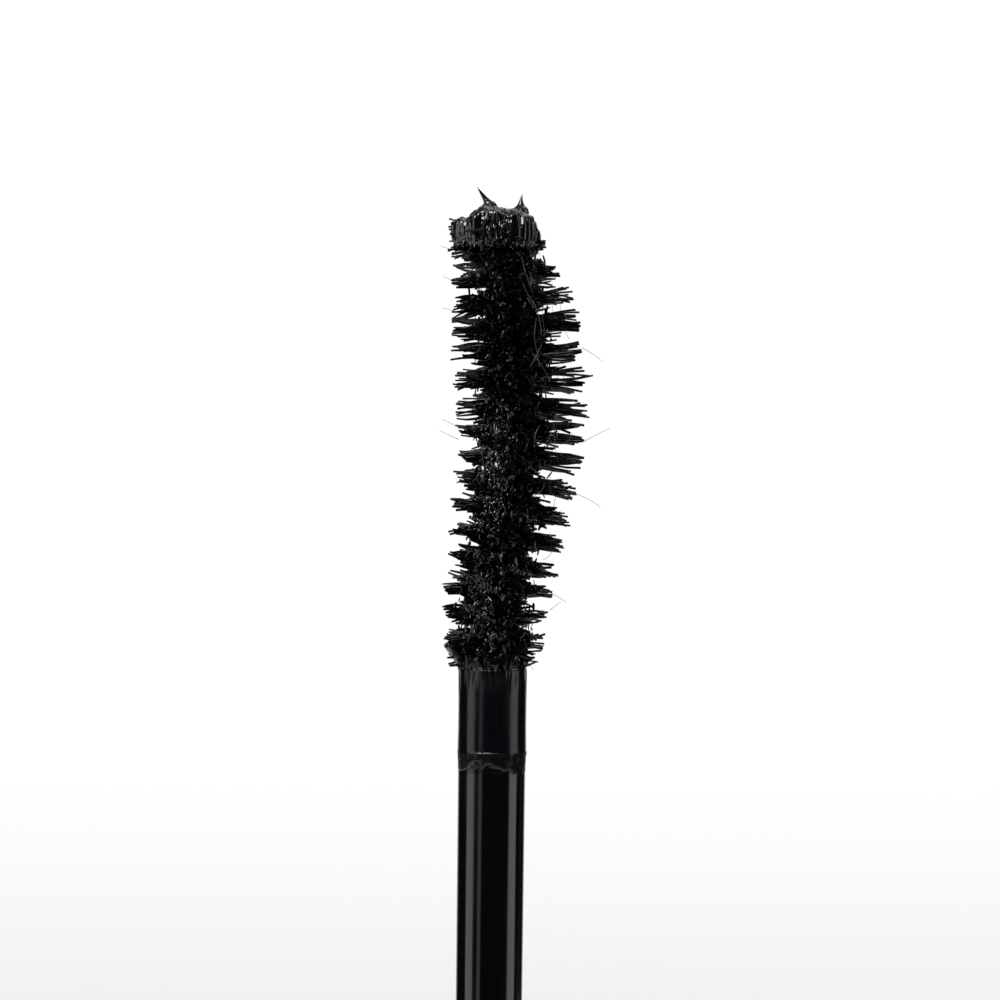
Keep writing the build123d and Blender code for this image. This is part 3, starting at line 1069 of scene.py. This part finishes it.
washer_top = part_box("sealing_washer")[1].z
washer_radius = radius_of("sealing_washer")
washer_bore = 3.08 * mm
neck_radius = 6.5 * mm
wiper_lip_bore = 4.0 * mm
groove_depth = 0.12 * mm
washer = finish_mesh("foam_washer", turned_mesh([
    (washer_bore, socket_floor),
    (washer_radius, socket_floor),
    (washer_radius, washer_top, 0.2 * mm),
    (neck_radius + 0.1 * mm, washer_top),
    (neck_radius - 0.1 * mm, washer_top - groove_depth),
    (wiper_lip_bore + 0.1 * mm, washer_top - groove_depth),
    (wiper_lip_bore - 0.1 * mm, washer_top),
    (washer_bore, washer_top),
], wand_axis, 0.06 * mm))
washer_foam, shader = new_material("closed_cell_foam", (0.62, 0.61, 0.58))
cells = pattern(shader, 5200, kind="ShaderNodeTexVoronoi")
from_axis = distance_from(shader, (wand_x, 0, 0), (1, 1, 0))
stained = mapped(from_axis, washer_bore, washer_radius, 0.6, 0.36)
with_dried_mascara(shader, 0.75, stained, 900, (*wand_axis, washer_top))
relief(shader, cells, 0.02 * mm, 0.7)
fit(washer, washer_foam, "washer", "washer_foam", "sealing_washer")


# ---------------- The tube's foot
# A moulded disc that closes the sleeve from below. Its ring-shaped spigot is pressed in under the
# bottle, and its rounded rim is what the tube stands on.

foot_top = 1.2 * mm
spigot_radius = shell_bore - 0.05 * mm
spigot_wall = 1.1 * mm
bottle_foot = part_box("bottle")[0].z
foot = finish_mesh("tube_foot", turned_mesh([
    (0, 0),
    (body_radius, 0, 0.8 * mm),
    (body_radius, foot_top, 0.05 * mm),
    (spigot_radius, foot_top, 0.04 * mm),
    (spigot_radius, bottle_foot),
    (spigot_radius - spigot_wall, bottle_foot),
    (spigot_radius - spigot_wall, foot_top),
    (0, foot_top),
], tube_axis, edge_break))
fit(foot, gloss_black, "tube", "gloss_black", "foot_cap")


# ---------------- The tube's sleeve
# A straight sleeve in polished black plastic, open at both ends, that slides over the bottle. Its upper
# end is cut back for the metal collar.

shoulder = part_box("tube_collar")[1].z
tube_collar_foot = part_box("tube_collar")[0].z
shoulder_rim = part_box("tube_shell")[1].z
sleeve = finish_mesh("tube_sleeve", turned_mesh([
    (shell_bore, foot_top),
    (body_radius, foot_top),
    (body_radius, tube_collar_foot, 0.04 * mm),
    (collar_bore, tube_collar_foot, 0.04 * mm),
    (collar_bore, shoulder_rim),
    (shell_bore, shoulder_rim),
], tube_axis, 0.06 * mm))
fit(sleeve, gloss_black, "tube", "gloss_black", "tube_shell")


# ---------------- The tube's trim collar
# The same anodised band as on the cap, taller, with its lip rolled in over the bottle's shoulder.

tube_collar = collar_band("tube_collar_band", tube_collar_foot, shoulder, tube_axis)
fit(tube_collar, trim_metal, "tube", "trim_metal", "tube_collar")


# ---------------- The bottle
# The moulded inner bottle that holds the mascara. Its threaded neck stands up through the collar, and
# mascara has smeared over the rim and dried in the thread.

neck_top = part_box("bottle")[1].z
bottle_radius = radius_of("bottle")
cavity_radius = 6.65 * mm
wiper_radius = 4.7 * mm
shoulder_wall = 2.0 * mm
bottle_mesh = turned_mesh([
    (cavity_radius, bottle_foot),
    (bottle_radius, bottle_foot),
    (bottle_radius, shoulder_rim),
    (neck_radius, shoulder_rim, 0.3 * mm),
    (neck_radius, neck_top, 0.2 * mm),
    (wiper_radius, neck_top),
    (wiper_radius, shoulder_rim - shoulder_wall),
    (cavity_radius, shoulder_rim - shoulder_wall - (cavity_radius - wiper_radius), 0.5 * mm),
], tube_axis, edge_break)
add_thread(bottle_mesh, tube_axis, neck_radius, thread_height, neck_top)
bottle = finish_mesh("inner_bottle", bottle_mesh)
bottle_plastic, shader = new_material("moulded_bottle_plastic", (0.014, 0.014, 0.015), IOR=1.5)
flow_marks = pattern(shader, 700, (1, 1, 0.4), origin=(*tube_axis, 0), detail=4)
clean = mapped(flow_marks, 0.35, 0.7, 0.14, 0.26)
amount = up_from(shader, shoulder, neck_top, 0.3, 0.5)
with_dried_mascara(shader, clean, amount, 380, (*tube_axis, neck_top))
relief(shader, flow_marks, 0.01 * mm, 0.2)
fit(bottle, bottle_plastic, "tube", "bottle_plastic", "bottle")


# ---------------- The bottle's plug
# A thin-walled moulded cup that is pressed up into the bottle after it has been filled from below.

plug_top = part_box("bottle_plug")[1].z
plug_wall = 1.0 * mm
plug = finish_mesh("plug_cup", turned_mesh([
    (0, plug_top),
    (cavity_radius, plug_top, 0.2 * mm),
    (cavity_radius, bottle_foot),
    (cavity_radius - plug_wall, bottle_foot),
    (cavity_radius - plug_wall, plug_top - plug_wall),
    (0, plug_top - plug_wall),
], tube_axis, edge_break))
plug_plastic = grained(
    "plain_plug_plastic", (0.03, 0.03, 0.032), 3000, (0.3, 0.7), (0.3, 0.45), 0.006 * mm, 0.4,
    detail=3, IOR=1.48)
fit(plug, plug_plastic, "tube", "bottle_plastic", "bottle_plug")


# ---------------- The wiper
# A soft moulded sleeve pushed into the neck until its flange sits on the rim. Its funnel ends in a thin
# lip that scrapes the brush and stem as they are drawn out.

wiper_flange = 0.6 * mm
wiper_top = neck_top + wiper_flange
flange_radius = neck_radius - 0.4 * mm
funnel_top = neck_top - 8.5 * mm
land_top = funnel_top - 3.5 * mm
land_foot = land_top - 1.2 * mm
orifice_radius = 2.05 * mm
lip_wall = 0.55 * mm
wiper = finish_mesh("rubber_wiper", turned_mesh([
    (wiper_lip_bore, wiper_top, 0.25 * mm),
    (wiper_lip_bore, funnel_top, 0.3 * mm),
    (orifice_radius, land_top, 0.15 * mm),
    (orifice_radius, land_foot),
    (orifice_radius + lip_wall, land_foot),
    (orifice_radius + lip_wall, land_top),
    (wiper_radius, funnel_top),
    (wiper_radius, neck_top),
    (flange_radius, neck_top),
    (flange_radius, wiper_top, 0.15 * mm),
], tube_axis, edge_break))
wiper_rubber, shader = new_material("soft_grey_elastomer", (0.045, 0.045, 0.047), IOR=1.43)
bloom = pattern(shader, 1500, detail=4)
clean = mapped(bloom, 0.3, 0.7, 0.36, 0.5)
from_mouth = distance_from(shader, (*tube_axis, wiper_top))
amount = mapped(from_mouth, wiper_lip_bore, flange_radius, 0.68, 0.42)
with_dried_mascara(shader, clean, amount, 1300, (*tube_axis, neck_top))
relief(shader, bloom, 0.008 * mm, 0.4)
fit(wiper, wiper_rubber, "tube", "wiper_rubber", "wiper")


# ---------------- Mascara left on the wiper
# The brush has just been drawn out, so wet paste rings the mouth of the wiper and hangs on its wall.

dice = Random(47)
mouth_drops = []
for blob in range(150):
    turn = dice.uniform(0, 2 * pi)
    depth = dice.triangular(0, 5.5, 0.3) * mm
    heavy = 0.6 + 0.4 * cos(turn - 4.2)
    spot = Vector((tube_x, tube_y, wiper_top - depth))
    radius = wiper_lip_bore + (0.25 * mm - depth if depth < 0.25 * mm else 0.02 * mm)
    spot += Vector((cos(turn), sin(turn), 0)) * radius
    lean = Vector((stray(0.5), stray(0.5), 1))
    drop(mouth_drops, spot, lean, dice.uniform(0.15, 0.6) * heavy * mm, dice.uniform(0.08, 0.2) * heavy * mm)
fit(melted("mascara_on_wiper", mouth_drops, 0.07 * mm, 2, rough_paste), wet_mascara, "tube", "mascara")


# ---------------- The mascara in the bottle
# A thick black paste. The brush leaves a pit in its top, with a raised, folded edge.

fill_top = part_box("mascara_fill")[1].z
fill_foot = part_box("mascara_fill")[0].z
fill_gap = 0.02 * mm
fill_mesh = turned_mesh([
    (0, fill_foot),
    (cavity_radius - fill_gap, fill_foot),
    (cavity_radius - fill_gap, fill_top - 0.5 * mm, 0.3 * mm),
    (5.4 * mm, fill_top - 0.9 * mm, 0.4 * mm),
    (3.9 * mm, fill_top - 0.25 * mm, 0.5 * mm),
    (2.6 * mm, fill_top - 0.9 * mm, 0.3 * mm),
    (1.7 * mm, fill_top - 3.5 * mm, 0.4 * mm),
    (0, fill_top - 5.0 * mm),
], tube_axis, 0.2 * mm)
worked_foot = fill_top - 6 * mm
long_edges = [edge for edge in fill_mesh.edges
              if edge.calc_length() > 0.6 * mm and min(vert.co.z for vert in edge.verts) > worked_foot]
bmesh.ops.subdivide_edges(fill_mesh, edges=long_edges, cuts=2)
for point in fill_mesh.verts:
    if point.co.z > worked_foot:
        spoke = Vector((point.co.x - tube_x, point.co.y - tube_y, 0))
        if spoke.length < cavity_radius - 0.3 * mm:
            point.co.z += (noise(point.co * 620) * 0.2 + noise(point.co * 1900) * 0.05) * mm
fit(finish_mesh("mascara_in_bottle", fill_mesh, 60), wet_mascara, "tube", "mascara", "mascara_fill")
